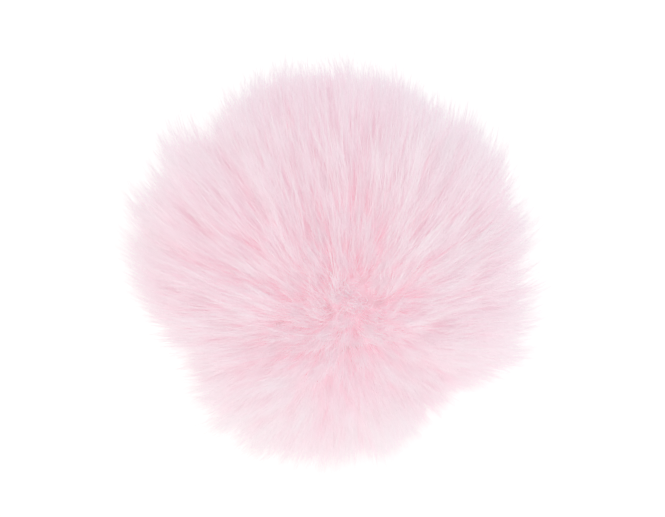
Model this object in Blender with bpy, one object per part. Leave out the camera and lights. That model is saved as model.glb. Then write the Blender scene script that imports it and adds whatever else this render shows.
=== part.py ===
"""A round fur pom pom, resting on its gathered back with its crown up.

It is one closed solid. A backing ball is hidden inside, and the pile stands on it in
separate tapering locks that are fused only at their roots. The pile is combed towards
+Y. The locks underneath are short and blunt and end level on the surface, round the
flat seat of the gathered back.

Metres, +Z up. The origin is on the surface, under the middle of the ball's box.
"""

import collections
import math
import random

import bmesh
import bpy
from mathutils import Quaternion, Vector

OBJECT_NAME = "fur_pom_pom"
BALL_NAME = "fur_ball"

# Driving sizes.
PILE_RADIUS = 0.0492
BACKING_RADIUS = 0.0290
MIDDLE_HEIGHT = 0.0440
PILE_DEPTH = PILE_RADIUS - BACKING_RADIUS

# How far the comb carries a full-length tip towards +Y, as a share of the pile's depth.
COMB_SHARE = 0.17
COMB_DIRECTION = Vector((0.0, 1.0, 0.0))

# A face of the backing ball is the root of one lock. Its lowest triangles are joined in
# pairs, so that the locks underneath are broad and four-sided.
BACKING_SUBDIVISIONS = 3
CORNER_DRIFT = 0.045
JOINED_PAIRS = 16
ROOT_INSET = 0.0003
LENGTH_DRIFT = 0.0016
TIP_DRIFT = 0.45
MOST_TWIST = 12
SEED = 5

# The widest part of a lock fills this share of its cell between the neighbours.
Section = collections.namedtuple("Section", "rise width twist")
LOCK_SECTIONS = (
    Section(rise=0.00, width=0.78, twist=0.0),
    Section(rise=0.40, width=0.80, twist=0.4),
    Section(rise=0.76, width=0.58, twist=1.0),
)
LEVEL_END_WIDTH = 0.72
SEAT_WIDTH = 0.88

# Where the pile stands longer or shorter: degrees round from +X, degrees above the
# middle, the change in length, and how many degrees away it has faded.
Tuft = collections.namedtuple("Tuft", "turn lift change fade")
TUFTS = (
    Tuft(turn=2, lift=2, change=0.0012, fade=30),
    Tuft(turn=51, lift=11, change=0.0018, fade=12),
    Tuft(turn=100, lift=14, change=0.0014, fade=16),
    Tuft(turn=127, lift=12, change=-0.0026, fade=9),
    Tuft(turn=145, lift=9, change=0.0030, fade=12),
    Tuft(turn=172, lift=3, change=0.0026, fade=20),
    Tuft(turn=207, lift=-7, change=-0.0050, fade=13),
    Tuft(turn=249, lift=-13, change=0.0016, fade=16),
    Tuft(turn=310, lift=-11, change=-0.0040, fade=14),
    Tuft(turn=341, lift=-5, change=0.0022, fade=14),
)

FUR_COLOUR = (0.86, 0.66, 0.73, 1.0)
FUR_ROUGHNESS = 0.95


def clear_scene():
    for old in list(bpy.data.objects):
        bpy.data.objects.remove(old)


def heading(turn, lift):
    """The unit direction from the ball's middle, from two angles in degrees."""
    turn = math.radians(turn)
    lift = math.radians(lift)
    level = math.cos(lift)
    return Vector((math.cos(turn) * level, math.sin(turn) * level, math.sin(lift)))


def tuft_change(direction):
    """How much longer the pile stands in this direction."""
    change = 0.0
    for tuft in TUFTS:
        away = math.degrees(direction.angle(heading(tuft.turn, tuft.lift)))
        change += tuft.change * math.exp(-((away / tuft.fade) ** 2))
    return change


def depth_to_surface(direction):
    """How far past the backing a straight hair goes before it meets the surface."""
    if direction.z >= 0.0:
        return math.inf
    return -MIDDLE_HEIGHT / direction.z - BACKING_RADIUS


def middle_of(rays):
    return sum(rays, Vector()).normalized()


def section_rays(corners, width, twist=0.0):
    """The directions of a section's corners: its cell's, drawn in and turned."""
    middle = middle_of(corners)
    turned = Quaternion(middle, math.radians(twist))
    return [middle.lerp(turned @ corner, width).normalized() for corner in corners]


def start_lock(bm, face, rays):
    bmesh.ops.inset_individual(bm, faces=[face], thickness=ROOT_INSET)
    for vert, ray in zip(face.verts, rays):
        vert.co = ray * BACKING_RADIUS


def extend_lock(bm, face, rays, depths):
    face = bmesh.ops.extrude_discrete_faces(bm, faces=[face])["faces"][0]
    for vert, ray, depth in zip(face.verts, rays, depths):
        vert.co = ray * (BACKING_RADIUS + depth)
    return face


def grow_free_lock(bm, face, length, chance):
    """A lock that swells, narrows and ends in a point a little off its middle."""
    corners = [vert.co.normalized() for vert in face.verts]
    twist = chance.uniform(-MOST_TWIST, MOST_TWIST)
    start_lock(bm, face, section_rays(corners, LOCK_SECTIONS[0].width))
    for section in LOCK_SECTIONS[1:]:
        rays = section_rays(corners, section.width, twist * section.twist)
        face = extend_lock(bm, face, rays, [length * section.rise] * len(rays))
    off_middle = TIP_DRIFT * chance.random()
    tip = middle_of(corners).lerp(chance.choice(corners), off_middle).normalized()
    point = bmesh.ops.poke(bm, faces=[face])["verts"][0]
    point.co = tip * (BACKING_RADIUS + length)


def grow_level_lock(bm, face, end_width):
    """A short blunt lock underneath, with its flat end in the surface."""
    corners = [vert.co.normalized() for vert in face.verts]
    start_lock(bm, face, section_rays(corners, LOCK_SECTIONS[0].width))
    belly = LOCK_SECTIONS[1]
    for width, rise in ((belly.width, belly.rise), (end_width, 1.0)):
        rays = section_rays(corners, width)
        face = extend_lock(bm, face, rays, [depth_to_surface(ray) * rise for ray in rays])


def join_lowest_pairs(bm):
    for pair in range(JOINED_PAIRS):
        between = [
            edge
            for edge in bm.edges
            if all(len(face.verts) == 3 for face in edge.link_faces)
        ]
        lowest = min(between, key=lambda edge: edge.verts[0].co.z + edge.verts[1].co.z)
        bmesh.ops.dissolve_edges(bm, edges=[lowest])


def backing_ball(bm, chance):
    """A ball of uneven faces, with the five lowest joined as the gathered back."""
    bmesh.ops.create_icosphere(bm, subdivisions=BACKING_SUBDIVISIONS, radius=1.0)
    lowest = min(bm.verts, key=lambda vert: vert.co.z)
    seat_ring = {edge.other_vert(lowest) for edge in lowest.link_edges}
    for vert in bm.verts:
        if vert is lowest or vert in seat_ring:
            continue
        drift = Vector([chance.uniform(-CORNER_DRIFT, CORNER_DRIFT) for axis in range(3)])
        vert.co = (vert.co + drift).normalized()
    for vert in bm.verts:
        vert.co *= BACKING_RADIUS
    bmesh.ops.dissolve_verts(bm, verts=[lowest])
    join_lowest_pairs(bm)


def grow_pile(bm, chance):
    by_height = sorted(bm.faces, key=lambda face: face.calc_center_median().z)
    seat = by_height[0]
    for face in by_height[1:]:
        direction = face.calc_center_median().normalized()
        drift = chance.uniform(-LENGTH_DRIFT, LENGTH_DRIFT)
        length = PILE_DEPTH + tuft_change(direction) + drift
        if depth_to_surface(direction) < length:
            grow_level_lock(bm, face, LEVEL_END_WIDTH)
        else:
            grow_free_lock(bm, face, length, chance)
    grow_level_lock(bm, seat, SEAT_WIDTH)


def comb_pile(bm):
    """Bends every lock towards the comb's side, more towards its tip."""
    for vert in bm.verts:
        depth = max(vert.co.length - BACKING_RADIUS, 0.0)
        vert.co += COMB_DIRECTION * (COMB_SHARE * depth * depth / PILE_DEPTH)


def stand_on_origin(bm):
    """Moves the ball so that its box stands centred on the origin."""
    xs = [vert.co.x for vert in bm.verts]
    ys = [vert.co.y for vert in bm.verts]
    across = (min(xs) + max(xs)) / 2
    along = (min(ys) + max(ys)) / 2
    bmesh.ops.translate(bm, verts=bm.verts, vec=(-across, -along, MIDDLE_HEIGHT))


def fur_material():
    material = bpy.data.materials.new("pale_pink_fur")
    material.use_nodes = True
    shader = material.node_tree.nodes["Principled BSDF"]
    shader.inputs["Base Color"].default_value = FUR_COLOUR
    shader.inputs["Roughness"].default_value = FUR_ROUGHNESS
    shader.inputs["Metallic"].default_value = 0.0
    return material


def fur_ball(collection):
    chance = random.Random(SEED)
    bm = bmesh.new()
    backing_ball(bm, chance)
    grow_pile(bm, chance)
    comb_pile(bm)
    stand_on_origin(bm)
    bmesh.ops.recalc_face_normals(bm, faces=bm.faces)
    mesh = bpy.data.meshes.new(BALL_NAME)
    bm.to_mesh(mesh)
    bm.free()
    mesh.materials.append(fur_material())
    ball = bpy.data.objects.new(BALL_NAME, mesh)
    collection.objects.link(ball)
    return ball


def main():
    clear_scene()
    collection = bpy.data.collections.new(OBJECT_NAME)
    bpy.context.scene.collection.children.link(collection)
    fur_ball(collection)


if __name__ == "__main__":
    main()
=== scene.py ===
"""The looks of a pale pink faux fur pom pom: its backing, its fur and the studio."""

import collections
import math

import bpy
import numpy as np
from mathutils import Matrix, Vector
from mathutils.kdtree import KDTree


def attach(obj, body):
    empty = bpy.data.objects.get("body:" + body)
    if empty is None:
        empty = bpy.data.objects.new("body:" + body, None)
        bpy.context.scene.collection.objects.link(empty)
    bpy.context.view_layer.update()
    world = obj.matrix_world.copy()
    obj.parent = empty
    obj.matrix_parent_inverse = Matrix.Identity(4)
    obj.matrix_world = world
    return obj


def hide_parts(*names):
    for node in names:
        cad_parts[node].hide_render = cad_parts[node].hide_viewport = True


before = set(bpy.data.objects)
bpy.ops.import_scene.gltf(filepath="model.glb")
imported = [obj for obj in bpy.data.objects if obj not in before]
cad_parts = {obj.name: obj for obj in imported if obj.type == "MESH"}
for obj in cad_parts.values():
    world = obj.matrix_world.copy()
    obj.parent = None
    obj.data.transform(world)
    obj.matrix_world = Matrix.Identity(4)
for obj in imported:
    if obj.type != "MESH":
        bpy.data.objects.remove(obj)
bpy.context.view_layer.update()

bl_info = {
    "name": "Fur pom pom",
    "version": (1, 0, 0),
    "blender": (4, 5, 0),
    "location": "3D View > Sidebar > Pom pom",
    "description": "Makes a round fur pom pom in a plain bright studio",
    "category": "Add Mesh",
}

BALL_NODE = "fur_ball"
BODY = "root"
STRAND_MAP = "OFBake"
GOLDEN_ANGLE = math.pi * (3.0 - math.sqrt(5.0))
TINY = 1e-9

# A strand is a closed spindle with three sides. Its corners sit this far round it, and
# this far across the strip of its own in the strand map.
SIDE_ANGLES = np.radians((90.0, 210.0, 330.0))
SIDE_SHARES = (0.0, 1.0, 0.5)
STRIP_WIDTH = 0.008

# Where the pile stands longer or shorter: degrees round from +X, degrees above the
# middle, the change in length, and how many degrees away it has faded.
Tuft = collections.namedtuple("Tuft", "turn lift change fade")
TUFTS = (
    Tuft(turn=0, lift=-90, change=-0.0022, fade=34),
    Tuft(turn=4, lift=4, change=0.0012, fade=5),
    Tuft(turn=5, lift=4, change=0.0010, fade=5),
    Tuft(turn=13, lift=6, change=-0.0018, fade=5),
    Tuft(turn=24, lift=9, change=0.0012, fade=4),
    Tuft(turn=25, lift=9, change=0.0026, fade=4),
    Tuft(turn=29, lift=10, change=-0.0010, fade=4),
    Tuft(turn=30, lift=10, change=-0.0022, fade=3),
    Tuft(turn=31, lift=10, change=-0.0012, fade=5),
    Tuft(turn=31, lift=10, change=-0.0010, fade=4),
    Tuft(turn=38, lift=12, change=0.0018, fade=5),
    Tuft(turn=39, lift=12, change=0.0026, fade=7),
    Tuft(turn=40, lift=12, change=0.0014, fade=4),
    Tuft(turn=41, lift=12, change=0.0010, fade=3),
    Tuft(turn=45, lift=29, change=-0.0026, fade=5),
    Tuft(turn=46, lift=29, change=-0.0018, fade=5),
    Tuft(turn=48, lift=13, change=-0.0034, fade=5),
    Tuft(turn=48, lift=14, change=-0.0016, fade=4),
    Tuft(turn=49, lift=14, change=-0.0014, fade=4),
    Tuft(turn=51, lift=0, change=-0.0018, fade=5),
    Tuft(turn=68, lift=17, change=0.0014, fade=14),
    Tuft(turn=73, lift=17, change=0.0014, fade=5),
    Tuft(turn=94, lift=17, change=-0.0038, fade=4),
    Tuft(turn=94, lift=32, change=-0.0024, fade=4),
    Tuft(turn=95, lift=17, change=-0.0012, fade=4),
    Tuft(turn=102, lift=17, change=0.0004, fade=10),
    Tuft(turn=114, lift=16, change=0.0010, fade=4),
    Tuft(turn=116, lift=16, change=0.0018, fade=6),
    Tuft(turn=130, lift=14, change=-0.0026, fade=6),
    Tuft(turn=130, lift=19, change=-0.0012, fade=5),
    Tuft(turn=138, lift=0, change=-0.0060, fade=5),
    Tuft(turn=139, lift=-6, change=-0.0022, fade=4),
    Tuft(turn=139, lift=-1, change=-0.0040, fade=4),
    Tuft(turn=141, lift=12, change=-0.0045, fade=4),
    Tuft(turn=141, lift=13, change=-0.0072, fade=5),
    Tuft(turn=142, lift=12, change=-0.0060, fade=4),
    Tuft(turn=143, lift=24, change=-0.0060, fade=5),
    Tuft(turn=143, lift=26, change=-0.0045, fade=4),
    Tuft(turn=144, lift=25, change=-0.0022, fade=4),
    Tuft(turn=148, lift=11, change=0.0022, fade=4),
    Tuft(turn=148, lift=34, change=-0.0022, fade=4),
    Tuft(turn=150, lift=11, change=0.0068, fade=5),
    Tuft(turn=151, lift=10, change=0.0022, fade=6),
    Tuft(turn=151, lift=22, change=0.0016, fade=4),
    Tuft(turn=160, lift=10, change=-0.0008, fade=4),
    Tuft(turn=162, lift=7, change=0.0044, fade=9),
    Tuft(turn=171, lift=5, change=-0.0012, fade=4),
    Tuft(turn=175, lift=4, change=0.0006, fade=6),
    Tuft(turn=181, lift=3, change=0.0032, fade=4),
    Tuft(turn=181, lift=3, change=0.0016, fade=5),
    Tuft(turn=183, lift=2, change=0.0022, fade=13),
    Tuft(turn=183, lift=2, change=0.0024, fade=6),
    Tuft(turn=185, lift=17, change=0.0012, fade=4),
    Tuft(turn=202, lift=-2, change=-0.0004, fade=6),
    Tuft(turn=207, lift=-18, change=-0.0018, fade=5),
    Tuft(turn=208, lift=-4, change=-0.0016, fade=5),
    Tuft(turn=209, lift=-4, change=-0.0020, fade=5),
    Tuft(turn=210, lift=-5, change=-0.0016, fade=6),
    Tuft(turn=211, lift=-5, change=-0.0044, fade=7),
    Tuft(turn=213, lift=-5, change=-0.0012, fade=6),
    Tuft(turn=213, lift=6, change=-0.0012, fade=6),
    Tuft(turn=214, lift=12, change=-0.0018, fade=5),
    Tuft(turn=215, lift=-21, change=-0.0048, fade=11),
    Tuft(turn=219, lift=-6, change=-0.0060, fade=11),
    Tuft(turn=222, lift=8, change=-0.0052, fade=11),
    Tuft(turn=228, lift=-8, change=-0.0036, fade=6),
    Tuft(turn=230, lift=4, change=-0.0030, fade=6),
    Tuft(turn=234, lift=-9, change=0.0012, fade=5),
    Tuft(turn=234, lift=-9, change=0.0026, fade=4),
    Tuft(turn=235, lift=1, change=0.0010, fade=4),
    Tuft(turn=246, lift=-11, change=0.0024, fade=8),
    Tuft(turn=247, lift=-11, change=0.0016, fade=6),
    Tuft(turn=261, lift=-11, change=0.0018, fade=9),
    Tuft(turn=262, lift=-12, change=0.0008, fade=8),
    Tuft(turn=268, lift=-11, change=0.0006, fade=5),
    Tuft(turn=276, lift=-11, change=-0.0024, fade=5),
    Tuft(turn=286, lift=-11, change=0.0034, fade=5),
    Tuft(turn=287, lift=-11, change=0.0010, fade=4),
    Tuft(turn=292, lift=-11, change=-0.0010, fade=4),
    Tuft(turn=293, lift=-11, change=-0.0010, fade=3),
    Tuft(turn=294, lift=-10, change=-0.0034, fade=5),
    Tuft(turn=302, lift=4, change=-0.0042, fade=11),
    Tuft(turn=305, lift=-9, change=-0.0060, fade=12),
    Tuft(turn=306, lift=-22, change=-0.0036, fade=11),
    Tuft(turn=311, lift=4, change=-0.0034, fade=6),
    Tuft(turn=313, lift=-8, change=-0.0038, fade=6),
    Tuft(turn=314, lift=-8, change=-0.0022, fade=4),
    Tuft(turn=321, lift=-6, change=-0.0014, fade=3),
    Tuft(turn=327, lift=-6, change=0.0066, fade=6),
    Tuft(turn=327, lift=-5, change=0.0022, fade=4),
    Tuft(turn=328, lift=-5, change=0.0022, fade=5),
    Tuft(turn=329, lift=-5, change=0.0014, fade=6),
    Tuft(turn=334, lift=-4, change=0.0004, fade=8),
    Tuft(turn=340, lift=-2, change=0.0012, fade=4),
    Tuft(turn=346, lift=-1, change=-0.0012, fade=5),
    Tuft(turn=349, lift=0, change=0.0002, fade=25),
    Tuft(turn=350, lift=14, change=-0.0014, fade=5),
    Tuft(turn=352, lift=1, change=-0.0026, fade=6),
    Tuft(turn=354, lift=1, change=-0.0012, fade=4),
    Tuft(turn=357, lift=-10, change=-0.0014, fade=5),
    Tuft(turn=357, lift=2, change=-0.0010, fade=5),
)

# Where the fur is paler or deeper, in the same terms, as a share of its range of tones.
PATCHES = (
    Tuft(turn=192, lift=52, change=-0.24, fade=26),
    Tuft(turn=196, lift=38, change=-0.20, fade=20),
    Tuft(turn=160, lift=55, change=-0.10, fade=18),
    Tuft(turn=90, lift=66, change=-0.26, fade=22),
    Tuft(turn=88, lift=32, change=-0.16, fade=26),
    Tuft(turn=30, lift=44, change=0.18, fade=24),
    Tuft(turn=270, lift=14, change=0.24, fade=26),
    Tuft(turn=304, lift=24, change=0.17, fade=22),
    Tuft(turn=226, lift=24, change=0.12, fade=26),
)

# One kind of fur. The stations are the shares of a strand's length where it is shaped:
# its first point, the rings between and its tip. The reach is a share of the pile's
# length. The root is the share of the reach below which nothing shows, so a strand starts
# there. The width is in metres.
Coat = collections.namedtuple(
    "Coat", "names strands stations root reach_low reach_high width gather frizz seed"
)
COATS = (
    Coat(
        names=("underfur",), strands=22000, stations=(0.0, 0.5, 1.0), root=0.20,
        reach_low=0.50, reach_high=0.84, width=0.00034, gather=0.40, frizz=0.09, seed=3,
    ),
    Coat(
        names=("pile_crown", "pile_sides", "pile_underside"),
        strands=90000, stations=(0.0, 0.55, 1.0), root=0.25,
        reach_low=0.62, reach_high=1.16, width=0.00019, gather=0.72, frizz=0.05, seed=4,
    ),
    Coat(
        names=("fine_pile",), strands=32000, stations=(0.0, 0.6, 1.0), root=0.40,
        reach_low=0.76, reach_high=1.10, width=0.00014, gather=0.40, frizz=0.07, seed=5,
    ),
    Coat(
        names=("fine_wisps",), strands=18000, stations=(0.0, 0.6, 1.0), root=0.45,
        reach_low=0.92, reach_high=1.27, width=0.00012, gather=0.74, frizz=0.12, seed=6,
    ),
)

# How unlike each other directions, clusters and locks are. Leans and the pull are
# shares of a unit direction, lengths are shares of the pile's, and tones are shares of
# the range of tones.
DIRECTION_SCATTER = 0.35
CLUSTER_LEAN = 0.05
CLUSTER_LENGTH = 0.06
CLUSTER_TONE = 0.12
CLUSTER_PULL = 0.20
LOCK_LEAN = 0.05
LOCK_LENGTH = 0.05
LOCK_TONE = 0.045
LOCK_COMB = (0.75, 1.25)
LONG_LOCKS = 0.16
LONG_LOCK_EXTRA = 0.10

# How unlike each other the strands of one lock are, in the same terms.
STATION_SCATTER = 0.05
STRAND_GATHER = (0.7, 1.1)
GATHER_CURVE = 1.3
STRAY_STRANDS = 0.08
STRAY_GATHER = 0.3
STRAND_WIDTH = (0.7, 1.2)
SWELL_CURVE = 0.8
STRAND_TONE = 0.04

# The loose layer that lies along the floor: how high, and how far it is pushed outwards
# for each metre that it would go through the floor.
FLOOR_LAYER = (0.0003, 0.0022)
FLOOR_SPREAD = 0.75

# The room's light: how far its tints are turned, its tints from front left to back
# right, its horizon, and where it has changed from horizon to tint. Positions run from
# 0 to 1, with the horizon at a half.
ROOM_TURN = math.radians(35.0)
ROOM_TINTS = (
    (0.15, (0.870, 0.940, 0.865)),
    (0.50, (0.950, 0.985, 0.960)),
    (0.85, (0.890, 0.905, 1.000)),
)
HORIZON = (1.24, 1.24, 1.24)
ABOVE_HORIZON = ((0.525, (0.0, 0.0, 0.0)), (0.675, (1.0, 1.0, 1.0)))

# The studio's floor, lamp and camera, in metres.
FLOOR_RADIUS = 1.5
FLOOR_LIGHT = (1.0, 0.985, 0.965)
KEY_SIZE = 0.45
KEY_COLOUR = (1.0, 0.97, 0.95)
KEY_PLACE = (-0.08, -0.42, 0.50)
KEY_AIM = (0.0, 0.0, 0.04)
CAMERA_AIM = (-0.0004, 0.0015, 0.0450)
FIELD_WIDTH = 0.1662
NEAREST_SEEN = 0.01


class PomPomSizes(bpy.types.PropertyGroup):
    ball_middle: bpy.props.FloatVectorProperty(
        name="Middle of the ball",
        description="Where all the fur's roots point away from",
        default=(0.0, -0.0014, 0.0440),
        subtype="XYZ",
        unit="LENGTH",
    )
    backing_radius: bpy.props.FloatProperty(
        name="Backing radius",
        description="From the ball's middle to the cloth that the fur grows on",
        default=0.0290,
        unit="LENGTH",
    )
    matted_radius: bpy.props.FloatProperty(
        name="Matted radius",
        description="From the ball's middle to where the fur is too dense to see into",
        default=0.0350,
        unit="LENGTH",
    )
    pile_radius: bpy.props.FloatProperty(
        name="Pile radius",
        description="From the ball's middle to an ordinary lock's tip",
        default=0.0492,
        unit="LENGTH",
    )
    comb_share: bpy.props.FloatProperty(
        name="Comb",
        description="How far a full-length tip is combed to +Y, as a share of the pile",
        default=0.48,
        subtype="FACTOR",
    )
    comb_aside: bpy.props.FloatProperty(
        name="Comb aside",
        description="How far a full-length tip is combed to -X, as a share of the pile",
        default=0.10,
        subtype="FACTOR",
    )
    droop_share: bpy.props.FloatProperty(
        name="Droop",
        description="How far a full-length tip hangs down, as a share of the pile",
        default=0.25,
        subtype="FACTOR",
    )
    longest: bpy.props.FloatProperty(
        name="Longest strand",
        description="No strand stands further than this from the backing",
        default=0.0280,
        unit="LENGTH",
    )
    lock_count: bpy.props.IntProperty(
        name="Locks",
        description="How many locks the fur's strands gather into",
        default=1700,
        min=1,
    )
    cluster_count: bpy.props.IntProperty(
        name="Clusters",
        description="How many clusters of locks lean together",
        default=280,
        min=1,
    )


class PomPomColours(bpy.types.PropertyGroup):
    root: bpy.props.FloatVectorProperty(
        name="Root",
        description="The fur's colour deep between the locks",
        default=(0.94, 0.75, 0.808),
        subtype="COLOR",
    )
    middle: bpy.props.FloatVectorProperty(
        name="Middle",
        description="The fur's colour half way along",
        default=(0.975, 0.855, 0.909),
        subtype="COLOR",
    )
    # Painted glow: the roots and the backing give off this light, standing in for the
    # light that crowded fur passes on among its strands.
    glow: bpy.props.FloatVectorProperty(
        name="Glow",
        description="The light that the crowded roots pass on among themselves",
        default=(0.205, 0.142, 0.150),
        subtype="COLOR",
    )
    # Painted glow: the tips give off this faint light, standing in for the light that
    # loose tips pass on among themselves.
    tip_glow: bpy.props.FloatVectorProperty(
        name="Tip glow",
        description="The light that the loose tips pass on among themselves",
        default=(0.026, 0.0315, 0.031),
        subtype="COLOR",
    )
    tip: bpy.props.FloatVectorProperty(
        name="Tip",
        description="The fur's colour at its tips",
        default=(0.956, 0.919, 0.943),
        subtype="COLOR",
    )
    floor: bpy.props.FloatVectorProperty(
        name="Floor",
        description="The colour of the floor",
        default=(0.36, 0.36, 0.36),
        subtype="COLOR",
    )


class StudioSettings(bpy.types.PropertyGroup):
    elevation: bpy.props.FloatProperty(
        name="Camera elevation",
        description="How far above the horizon the camera looks from",
        default=math.radians(75.5),
        subtype="ANGLE",
    )
    lens: bpy.props.FloatProperty(
        name="Lens",
        description="The camera's focal length in millimetres",
        default=100.0,
    )
    room_glow: bpy.props.FloatProperty(
        name="Room glow",
        description="The strength of the light that comes from all around",
        default=0.86,
    )
    floor_glow: bpy.props.FloatProperty(
        name="Floor glow",
        description="The strength of the light that the floor gives off",
        default=0.79,
    )
    bounces: bpy.props.IntProperty(
        name="Bounces",
        description="How often light is passed on between the pale strands",
        default=6,
    )
    key_power: bpy.props.FloatProperty(
        name="Key light",
        description="The power of the large soft light in front",
        default=0.3,
        unit="POWER",
    )


class Value:
    """A number that a material works out at each point, with plain arithmetic."""

    def __init__(self, finish, socket):
        self.finish = finish
        self.socket = socket

    def worked(self, operation, first, second):
        made = self.finish.node(
            "ShaderNodeMath", {"operation": operation}, {0: first, 1: second}
        )
        return Value(self.finish, made.outputs[0])

    def __add__(self, other):
        return self.worked("ADD", self, other)

    def __radd__(self, other):
        return self.worked("ADD", other, self)

    def __sub__(self, other):
        return self.worked("SUBTRACT", self, other)

    def __rsub__(self, other):
        return self.worked("SUBTRACT", other, self)

    def __mul__(self, other):
        return self.worked("MULTIPLY", self, other)

    def __rmul__(self, other):
        return self.worked("MULTIPLY", other, self)


class Finish:
    """A material whose nodes are added one by one."""

    def __init__(self, name):
        self.material = bpy.data.materials.new(name)
        self.material.use_nodes = True
        self.tree = self.material.node_tree
        self.shader = self.tree.nodes["Principled BSDF"]
        self.material.cycles.emission_sampling = "NONE"

    def node(self, kind, settings=None, inputs=None):
        made = self.tree.nodes.new(kind)
        for name, setting in (settings or {}).items():
            if name == "stops":
                set_stops(made.color_ramp, setting)
            else:
                setattr(made, name, setting)
        for place, value in (inputs or {}).items():
            self.feed(made.inputs[place], value)
        return made

    def feed(self, socket, value):
        if isinstance(value, Value):
            self.tree.links.new(value.socket, socket)
        elif isinstance(value, bpy.types.NodeSocket):
            self.tree.links.new(value, socket)
        else:
            socket.default_value = value

    def ramp(self, value, stops):
        return self.node("ShaderNodeValToRGB", {"stops": stops}, {0: value}).outputs[0]

    def blend(self, share, first, second):
        """A colour that goes from the first to the second as share goes from 0 to 1."""
        made = self.node(
            "ShaderNodeMix",
            {"data_type": "RGBA", "clamp_factor": True},
            {0: share, 6: first, 7: second},
        )
        return made.outputs[2]

    def noise(self, where, scale, detail):
        inputs = {"Vector": where, "Scale": scale, "Detail": detail}
        made = self.node("ShaderNodeTexNoise", None, inputs)
        return Value(self, made.outputs["Fac"])


def set_stops(ramp, stops):
    """Gives a ramp its stops, each a position and a colour."""
    while len(ramp.elements) < len(stops):
        ramp.elements.new(0.5)
    for element, (position, colour) in zip(ramp.elements, stops):
        element.position = position
        element.color = opaque(colour)


def opaque(colour):
    return (colour[0], colour[1], colour[2], 1.0)


def strand_finish(colours):
    """Fur that runs from rose at the root to pale at the tip, in many tones, with a
    painted glow that is strongest at the root.
    """
    finish = Finish("pale_pink_fur")
    strand_map = finish.node("ShaderNodeUVMap", {"uv_map": STRAND_MAP})
    split = finish.node("ShaderNodeSeparateXYZ", None, {0: strand_map.outputs[0]})
    tone = Value(finish, split.outputs[0])
    along = Value(finish, split.outputs[1])
    deep = finish.ramp(along, ((0.15, colours.root), (0.60, colours.middle)))
    pale = finish.ramp(along, ((0.10, colours.middle), (0.70, colours.tip)))
    place = finish.node("ShaderNodeCombineXYZ", None, {0: tone * 60.0, 1: along * 2.0})
    streaks = finish.noise(place.outputs[0], 1.0, 2.0)
    tone = tone + 0.12 * (streaks - 0.5)
    finish.feed(finish.shader.inputs["Base Color"], finish.blend(tone, deep, pale))
    # Painted glow: the strands give off rose light at the root, fading to a faint light
    # at the tip, standing in for light passed on between them.
    glow = finish.ramp(along, ((0.0, colours.glow), (1.0, colours.tip_glow)))
    finish.feed(finish.shader.inputs["Emission Color"], glow)
    finish.shader.inputs["Emission Strength"].default_value = 1.0
    finish.shader.inputs["Roughness"].default_value = 0.62
    finish.shader.inputs["Specular IOR Level"].default_value = 0.25
    finish.shader.inputs["Sheen Weight"].default_value = 0.20
    finish.shader.inputs["Sheen Roughness"].default_value = 0.50
    return finish.material


def backing_finish(colours):
    """The matted depth of the fur, rose with painted shade in its pits and a painted rose
    glow.
    """
    finish = Finish("matted_fur_depth")
    place = finish.node("ShaderNodeTexCoord").outputs["Object"]
    pits_and_painted_shade = finish.noise(place, 320.0, 4.0)
    # Painted shade: the low points of the bump are coloured darker than the rest.
    darker = [0.8 * part for part in colours.root]
    shade = finish.ramp(pits_and_painted_shade, ((0.35, darker), (0.70, colours.middle)))
    finish.feed(finish.shader.inputs["Base Color"], shade)
    bump = finish.node(
        "ShaderNodeBump", None, {"Strength": 0.6, "Distance": 0.001, "Height": pits_and_painted_shade}
    )
    finish.feed(finish.shader.inputs["Normal"], bump.outputs[0])
    # Painted glow: the backing gives off rose light, standing in for the light scattered
    # among the matted strands in the depth.
    finish.shader.inputs["Emission Color"].default_value = opaque(colours.glow)
    finish.shader.inputs["Emission Strength"].default_value = 0.8
    finish.shader.inputs["Roughness"].default_value = 0.95
    finish.shader.inputs["Specular IOR Level"].default_value = 0.10
    return finish.material


def floor_finish(colours, glow):
    """A plain white floor with a faint grain, which gives off some light."""
    finish = Finish("white_sweep")
    place = finish.node("ShaderNodeTexCoord").outputs["Object"]
    grain = finish.noise(place, 40.0, 2.0)
    darker = [0.98 * part for part in colours.floor]
    shade = finish.blend(grain, opaque(darker), opaque(colours.floor))
    finish.feed(finish.shader.inputs["Base Color"], shade)
    finish.shader.inputs["Roughness"].default_value = 0.90
    finish.shader.inputs["Specular IOR Level"].default_value = 0.0
    finish.shader.inputs["Emission Color"].default_value = opaque(FLOOR_LIGHT)
    finish.shader.inputs["Emission Strength"].default_value = glow
    return finish.material


def bright_room(glow):
    """Soft light from all around: warmer front left, cooler behind, white low down."""
    world = bpy.data.worlds.new("bright_room")
    world.use_nodes = True
    world.cycles.sampling_method = "NONE"
    tree = world.node_tree
    room = tree.nodes["Background"]
    room.inputs["Strength"].default_value = glow
    where = tree.nodes.new("ShaderNodeTexCoord")
    turned = tree.nodes.new("ShaderNodeMapping")
    turned.inputs["Location"].default_value = (0.5, 0.5, 0.5)
    turned.inputs["Rotation"].default_value[2] = ROOM_TURN
    turned.inputs["Scale"].default_value = (0.5, 0.5, 0.5)
    tree.links.new(where.outputs["Generated"], turned.inputs["Vector"])
    split = tree.nodes.new("ShaderNodeSeparateXYZ")
    tree.links.new(turned.outputs[0], split.inputs[0])
    tint = tree.nodes.new("ShaderNodeValToRGB")
    set_stops(tint.color_ramp, ROOM_TINTS)
    tree.links.new(split.outputs[1], tint.inputs[0])
    height = tree.nodes.new("ShaderNodeValToRGB")
    set_stops(height.color_ramp, ABOVE_HORIZON)
    tree.links.new(split.outputs[2], height.inputs[0])
    whole = tree.nodes.new("ShaderNodeMix")
    whole.data_type = "RGBA"
    whole.inputs[6].default_value = opaque(HORIZON)
    tree.links.new(height.outputs[0], whole.inputs[0])
    tree.links.new(tint.outputs[0], whole.inputs[7])
    tree.links.new(whole.outputs[2], room.inputs["Color"])
    return world


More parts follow.
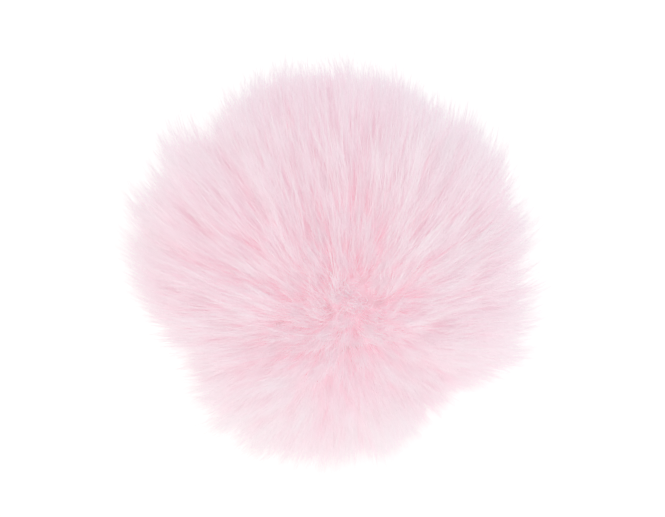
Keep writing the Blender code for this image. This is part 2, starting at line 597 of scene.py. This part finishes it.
def unit(rays):
    """The same directions, each one unit long."""
    return rays / np.linalg.norm(rays, axis=-1, keepdims=True)


def heading(turn, lift):
    """The unit direction from the ball's middle, from two angles in degrees."""
    turn, lift = math.radians(turn), math.radians(lift)
    level = math.cos(lift)
    return np.array((math.cos(turn) * level, math.sin(turn) * level, math.sin(lift)))


def even_directions(count, chance):
    """Directions spread evenly on a spiral from crown to seat, each a little off."""
    step = np.arange(count) + 0.5
    height = 1.0 - 2.0 * step / count
    level = np.sqrt(1.0 - height * height)
    turn = step * GOLDEN_ANGLE
    spots = np.stack((np.cos(turn) * level, np.sin(turn) * level, height), axis=1)
    spacing = math.sqrt(4.0 * math.pi / count)
    scatter = DIRECTION_SCATTER * spacing
    return unit(spots + chance.normal(scale=scatter, size=spots.shape))


def nearest(rays, centres):
    """Which of the centres each ray is nearest to."""
    tree = KDTree(len(centres))
    for index, centre in enumerate(centres):
        tree.insert(centre, index)
    tree.balance()
    return np.array([tree.find(ray)[1] for ray in rays])


def change_by_place(rays, places):
    """How much the listed places change what stands in each direction."""
    change = np.zeros(len(rays))
    for tuft in places:
        near = np.clip(rays @ heading(tuft.turn, tuft.lift), -1.0, 1.0)
        away = np.degrees(np.arccos(near))
        change += tuft.change * np.exp(-((away / tuft.fade) ** 2))
    return change


class Locks:
    """The locks that strands gather into, and the clusters that locks lean with."""

    def __init__(self, sizes):
        chance = np.random.default_rng(2)
        self.rays = even_directions(sizes.lock_count, chance)
        clusters = even_directions(sizes.cluster_count, chance)
        cluster = nearest(self.rays, clusters)
        cluster_lean = chance.normal(scale=CLUSTER_LEAN, size=clusters.shape)
        cluster_length = chance.normal(scale=CLUSTER_LENGTH, size=len(clusters))
        cluster_tone = chance.normal(scale=CLUSTER_TONE, size=len(clusters))
        count = len(self.rays)
        self.rays = unit(self.rays + CLUSTER_PULL * (clusters[cluster] - self.rays))
        self.lean = cluster_lean[cluster]
        self.lean += chance.normal(scale=LOCK_LEAN, size=(count, 3))
        self.length = 1.0 + cluster_length[cluster]
        self.length += chance.normal(scale=LOCK_LENGTH, size=count)
        self.length += LONG_LOCK_EXTRA * (chance.random(count) < LONG_LOCKS)
        self.tone = 0.5 + cluster_tone[cluster]
        self.tone += chance.normal(scale=LOCK_TONE, size=count)
        self.comb = chance.uniform(*LOCK_COMB, size=count)
        self.patch = change_by_place(self.rays, PATCHES)


def keep_off_floor(paths, rays, chance):
    """Turns what would go through the floor outwards along it, in a loose layer."""
    layer = chance.uniform(*FLOOR_LAYER, size=paths.shape[0])[:, None]
    below = np.clip(layer - paths[:, :, 2], 0.0, None)
    away = rays.copy()
    away[:, 2] = 0.0
    away = unit(away + TINY)
    paths[:, :, 2] = np.maximum(paths[:, :, 2], layer)
    paths += FLOOR_SPREAD * below[:, :, None] * away[:, None, :]
    return paths


def strand_paths(coat, sizes, locks, chance):
    """Each strand's stations from root to tip, and the lock that it belongs to."""
    rays = even_directions(coat.strands, chance)
    lock = nearest(rays, locks.rays)
    depth = sizes.pile_radius - sizes.backing_radius
    spread = math.sqrt(math.pi / sizes.lock_count)
    inside = 1.0 - np.linalg.norm(rays - locks.rays[lock], axis=1) / spread
    inside = 0.5 * chance.random(len(rays)) + 0.5 * np.clip(inside, 0.0, 1.0)
    reach = coat.reach_low + (coat.reach_high - coat.reach_low) * inside
    length = (depth + change_by_place(rays, TUFTS)) * reach * locks.length[lock]
    length = np.minimum(length, sizes.longest)
    shares = np.array(coat.stations)[None, :]
    shift = chance.normal(scale=STATION_SCATTER, size=(len(rays), 1))
    shares = shares + shift * shares * (1.0 - shares)
    rise = (coat.root + (1.0 - coat.root) * shares) * length[:, None]
    gather = coat.gather * chance.uniform(*STRAND_GATHER, size=len(rays))
    stray = chance.random(len(rays)) < STRAY_STRANDS
    gather[stray] *= STRAY_GATHER
    pull = gather[:, None] * shares**GATHER_CURVE
    heads = rays[:, None, :] + pull[:, :, None] * (locks.rays[lock] - rays)[:, None, :]
    lean = locks.lean[lock] + chance.normal(scale=coat.frizz, size=rays.shape)
    lean[:, 0] -= sizes.comb_aside * locks.comb[lock]
    lean[:, 1] += sizes.comb_share * locks.comb[lock]
    lean[:, 2] -= sizes.droop_share
    lean -= (lean * rays).sum(axis=1, keepdims=True) * rays
    bend = (rise * rise / depth)[:, :, None] * lean[:, None, :]
    paths = unit(heads) * (sizes.backing_radius + rise)[:, :, None] + bend
    paths += np.array(sizes.ball_middle)
    return keep_off_floor(paths, rays, chance), shares, lock


def strand_corners(paths, widths, chance):
    """The corners of each strand's spindle: its root, its rings and its tip."""
    rings = paths[:, 1:-1]
    ahead = unit(paths[:, 2:] - paths[:, :-2])
    beside = unit(np.cross(ahead, unit(chance.normal(size=(len(paths), 1, 3)))))
    above = np.cross(ahead, beside)
    corners = []
    for angle in SIDE_ANGLES:
        out = math.cos(angle) * beside + math.sin(angle) * above
        corners.append(rings + 0.5 * widths[:, :, None] * out)
    rings = np.stack(corners, axis=2).reshape(len(paths), -1, 3)
    return np.concatenate((paths[:, :1], rings, paths[:, -1:]), axis=1)


def spindle_faces(rings):
    """The triangles of one strand, and each corner's side share and station."""
    sides = len(SIDE_ANGLES)
    tip = 1 + rings * sides
    faces = []
    for side in range(sides):
        after = (side + 1) % sides
        faces.append((0, 1 + after, 1 + side))
        faces.append((tip, tip - sides + side, tip - sides + after))
        for ring in range(rings - 1):
            low, high = 1 + ring * sides, 1 + (ring + 1) * sides
            faces.append((low + side, low + after, high + side))
            faces.append((low + after, high + after, high + side))
    across = [0.5] + list(SIDE_SHARES) * rings + [0.5]
    around = [1 + ring for ring in range(rings) for side in range(sides)]
    station = [0] + around + [rings + 1]
    return np.array(faces), np.array(across), np.array(station)


def mesh_object(name, corners, faces, finish):
    """An object made of these triangles, shaded flat."""
    mesh = bpy.data.meshes.new(name)
    mesh.vertices.add(len(corners))
    mesh.vertices.foreach_set("co", corners.astype(np.float32).ravel())
    mesh.loops.add(faces.size)
    mesh.loops.foreach_set("vertex_index", faces.astype(np.int32).ravel())
    mesh.polygons.add(len(faces))
    mesh.polygons.foreach_set("loop_start", np.arange(0, faces.size, 3, dtype=np.int32))
    mesh.polygons.foreach_set("use_smooth", np.zeros(len(faces), dtype=bool))
    mesh.update(calc_edges=True)
    mesh.materials.append(finish)
    piece = bpy.data.objects.new(name, mesh)
    bpy.context.scene.collection.objects.link(piece)
    return piece


def strands(name, paths, shares, widths, tones, finish, chance):
    """One joined mesh of closed strands, each with its own strip of the strand map."""
    corners = strand_corners(paths, widths, chance)
    faces, across, station = spindle_faces(paths.shape[1] - 2)
    starts = np.arange(len(paths)) * corners.shape[1]
    every = (faces[None, :, :] + starts[:, None, None]).reshape(-1, 3)
    piece = mesh_object(name, corners.reshape(-1, 3), every, finish)
    us = tones[:, None] + STRIP_WIDTH * across[None, :]
    vs = 0.01 + 0.98 * shares[:, station]
    spots = np.stack((us, vs), axis=2)[:, faces.ravel(), :]
    layer = piece.data.uv_layers.new(name=STRAND_MAP)
    layer.data.foreach_set("uv", spots.astype(np.float32).ravel())
    return piece


def place_piece(piece):
    """Puts a piece on the part's one body, in place of its solid."""
    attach(piece, BODY)
    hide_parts(BALL_NODE)


def deselect_all():
    if bpy.context.object and bpy.context.object.mode != "OBJECT":
        bpy.ops.object.mode_set(mode="OBJECT")
    bpy.ops.object.select_all(action="DESELECT")


class POMPOM_OT_backing(bpy.types.Operator):
    """Make the matted ball that the fur grows from"""

    bl_idname = "pompom.backing"
    bl_label = "Backing ball"

    def execute(self, context):
        sizes = context.scene.pompom_sizes
        deselect_all()
        bpy.ops.mesh.primitive_ico_sphere_add(
            subdivisions=5, radius=sizes.matted_radius, location=sizes.ball_middle
        )
        ball = context.object
        ball.name = ball.data.name = "backing"
        bpy.ops.object.mode_set(mode="EDIT")
        bpy.ops.mesh.select_all(action="SELECT")
        bpy.ops.transform.vertex_random(offset=0.0008, uniform=0.0, normal=1.0, seed=7)
        bpy.ops.mesh.vertices_smooth(factor=0.5, repeat=1)
        bpy.ops.object.mode_set(mode="OBJECT")
        bpy.ops.object.transform_apply(location=True, rotation=True, scale=True)
        bpy.ops.object.shade_smooth()
        ball.data.materials.append(backing_finish(context.scene.pompom_colours))
        place_piece(ball)
        return {"FINISHED"}


class POMPOM_OT_fur(bpy.types.Operator):
    """Grow the fur: its underfur, pile, fine pile and wisps"""

    bl_idname = "pompom.fur"
    bl_label = "Fur"

    def execute(self, context):
        sizes = context.scene.pompom_sizes
        finish = strand_finish(context.scene.pompom_colours)
        locks = Locks(sizes)
        for coat in COATS:
            chance = np.random.default_rng(coat.seed)
            paths, shares, lock = strand_paths(coat, sizes, locks, chance)
            middle_stations = np.array(coat.stations[1:-1])
            swell = np.sin(np.pi * middle_stations**SWELL_CURVE)[None, :]
            widths = chance.uniform(*STRAND_WIDTH, size=(len(paths), 1))
            widths = coat.width * widths * swell
            tones = locks.tone[lock] + chance.normal(scale=STRAND_TONE, size=len(paths))
            tones += locks.patch[lock]
            tones = np.clip(tones, 0.0, 1.0 - STRIP_WIDTH)
            parts = np.array_split(np.arange(len(paths)), len(coat.names))
            for name, part in zip(coat.names, parts):
                shape = paths[part], shares[part], widths[part]
                place_piece(strands(name, *shape, tones[part], finish, chance))
        return {"FINISHED"}


class POMPOM_OT_studio(bpy.types.Operator):
    """Make the white floor, the soft lights and the camera"""

    bl_idname = "pompom.studio"
    bl_label = "Studio"

    def execute(self, context):
        scene = context.scene
        settings = scene.pompom_studio
        self.floor(context, settings)
        self.lights(scene, settings)
        self.camera(scene, settings)
        scene.view_settings.view_transform = "Standard"
        scene.cycles.max_bounces = settings.bounces
        scene.cycles.diffuse_bounces = settings.bounces
        return {"FINISHED"}

    def floor(self, context, settings):
        deselect_all()
        bpy.ops.mesh.primitive_circle_add(
            vertices=96, radius=FLOOR_RADIUS, fill_type="NGON"
        )
        floor = context.object
        floor.name = "floor"
        floor.data.materials.append(
            floor_finish(context.scene.pompom_colours, settings.floor_glow)
        )

    def lights(self, scene, settings):
        scene.world = bright_room(settings.room_glow)
        lamp = bpy.data.lights.new("key_light", "AREA")
        lamp.energy = settings.key_power
        lamp.size = KEY_SIZE
        lamp.color = KEY_COLOUR
        key = bpy.data.objects.new("key_light", lamp)
        key.location = KEY_PLACE
        aim = Vector(KEY_AIM) - key.location
        key.rotation_euler = aim.to_track_quat("-Z", "Y").to_euler()
        scene.collection.objects.link(key)

    def camera(self, scene, settings):
        optics = bpy.data.cameras.new("camera")
        optics.lens = settings.lens
        camera = bpy.data.objects.new("camera", optics)
        up = settings.elevation
        back = Vector((0.0, -math.cos(up), math.sin(up)))
        distance = settings.lens / optics.sensor_width * FIELD_WIDTH
        camera.location = Vector(CAMERA_AIM) + back * distance
        camera.rotation_euler = (-back).to_track_quat("-Z", "Y").to_euler()
        optics.clip_start = NEAREST_SEEN
        scene.collection.objects.link(camera)
        scene.camera = camera


class POMPOM_PT_panel(bpy.types.Panel):
    """The pom pom's pieces, sizes and colours"""

    bl_idname = "POMPOM_PT_panel"
    bl_label = "Pom pom"
    bl_space_type = "VIEW_3D"
    bl_region_type = "UI"
    bl_category = "Pom pom"

    def draw(self, context):
        layout = self.layout
        for operator in OPERATORS:
            layout.operator(operator.bl_idname)
        for group in GROUPS:
            settings = getattr(context.scene, group)
            for name in settings.bl_rna.properties.keys():
                if name not in ("rna_type", "name"):
                    layout.prop(settings, name)


OPERATORS = (POMPOM_OT_backing, POMPOM_OT_fur, POMPOM_OT_studio)
GROUPS = {
    "pompom_sizes": PomPomSizes,
    "pompom_colours": PomPomColours,
    "pompom_studio": StudioSettings,
}


def register():
    for kind in (*GROUPS.values(), *OPERATORS, POMPOM_PT_panel):
        bpy.utils.register_class(kind)
    for name, group in GROUPS.items():
        setattr(bpy.types.Scene, name, bpy.props.PointerProperty(type=group))


def unregister():
    for name in GROUPS:
        delattr(bpy.types.Scene, name)
    for kind in reversed((*GROUPS.values(), *OPERATORS, POMPOM_PT_panel)):
        bpy.utils.unregister_class(kind)


def main():
    register()
    bpy.ops.pompom.backing()
    bpy.ops.pompom.fur()
    bpy.ops.pompom.studio()


if __name__ == "__main__":
    main()
